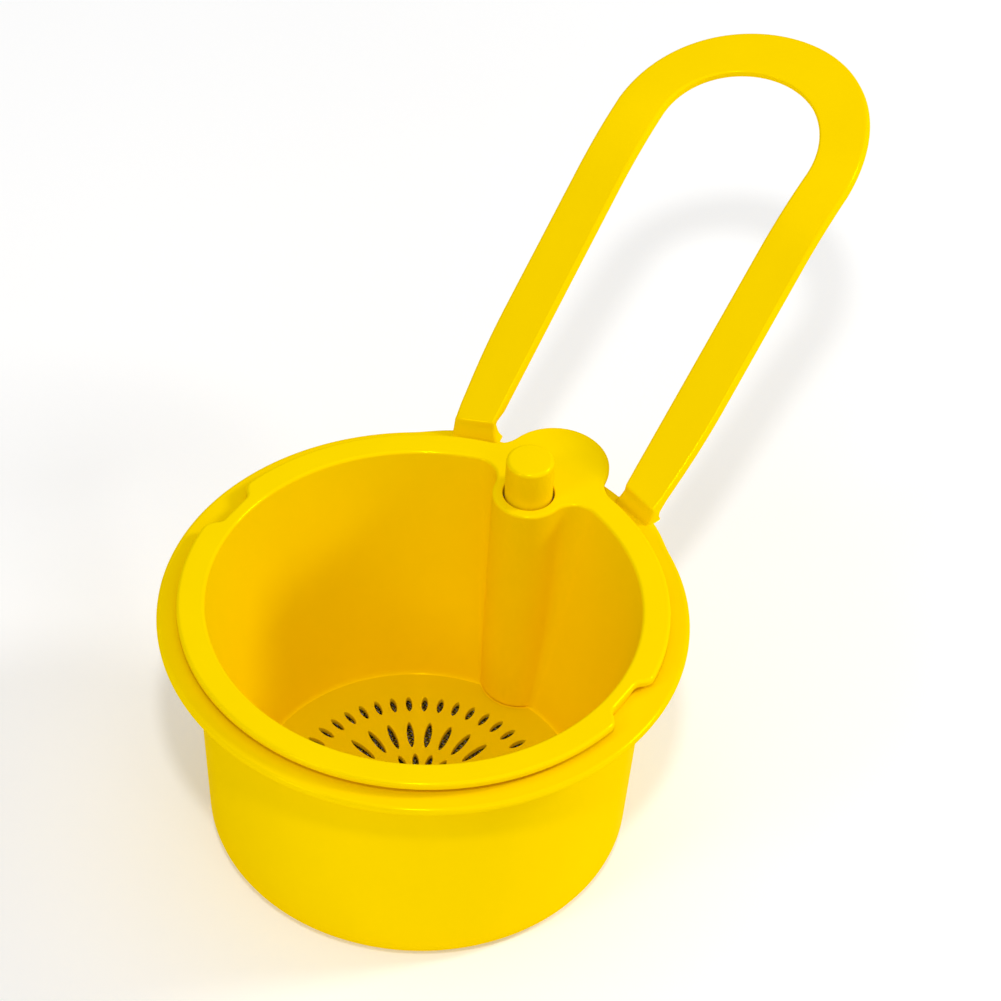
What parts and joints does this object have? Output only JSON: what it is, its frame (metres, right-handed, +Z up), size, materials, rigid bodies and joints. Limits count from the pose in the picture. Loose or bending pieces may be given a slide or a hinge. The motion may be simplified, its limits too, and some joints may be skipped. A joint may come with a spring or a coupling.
{
  "type": "double sieve strainer",
  "caption": "Flanged straining cup with a tall inclined loop handle, a lift-out slotted sieve basket with fine mesh, and a push button on an inner column.",
  "frame": {"origin": "centre of the cup's base, on the surface it stands on", "axes": "+Z up along the cup's axis; +Y from the cup's axis towards the handle; +X to the right seen from the front"},
  "size_m": [0.13, 0.2462, 0.1277],
  "materials": {
    "cup_plastic": "gloss",
    "basket_plastic": "gloss",
    "steel": "satin",
    "spring_steel": "satin",
    "mesh_steel": "woven",
    "seal_rubber": "matt"
  },
  "bodies": {
    "cup": {"outer_cup": "cup_plastic", "handle_loop": "cup_plastic", "valve_cage": "cup_plastic", "cage_lock_ring": "cup_plastic"},
    "valve": {"valve_poppet": "cup_plastic", "valve_seal": "seal_rubber", "valve_cap": "steel", "valve_spring": "spring_steel"},
    "basket": {"strainer_basket": "basket_plastic", "sieve_plate": "basket_plastic", "fine_mesh": "mesh_steel", "mesh_ring": "steel", "button_bezel": "steel", "spring_washer": "steel"},
    "plunger": {"push_button": "basket_plastic", "push_rod": "steel", "rod_foot": "seal_rubber", "button_spring": "spring_steel"}
  },
  "joints": [
    {"name": "basket_lift", "type": "slide", "parent": "cup", "child": "basket", "axis": [0, 0, 1], "range_m": [0, 0.08]},
    {"name": "button_press", "type": "slide", "parent": "basket", "child": "plunger", "axis": [0, 0, -1], "range_m": [0, 0.005], "stiffness_N_per_m": 500, "springref_m": -0.004, "deforming": ["button_spring"]},
    {"name": "valve_open", "type": "slide", "parent": "cup", "child": "valve", "axis": [0, 0, -1], "range_m": [0, 0.005], "stiffness_N_per_m": 150, "springref_m": -0.003, "deforming": ["valve_spring"]}
  ],
  "couplings": [
    {"joint": "valve_open", "follows": "button_press", "ratio": 1}
  ]
}
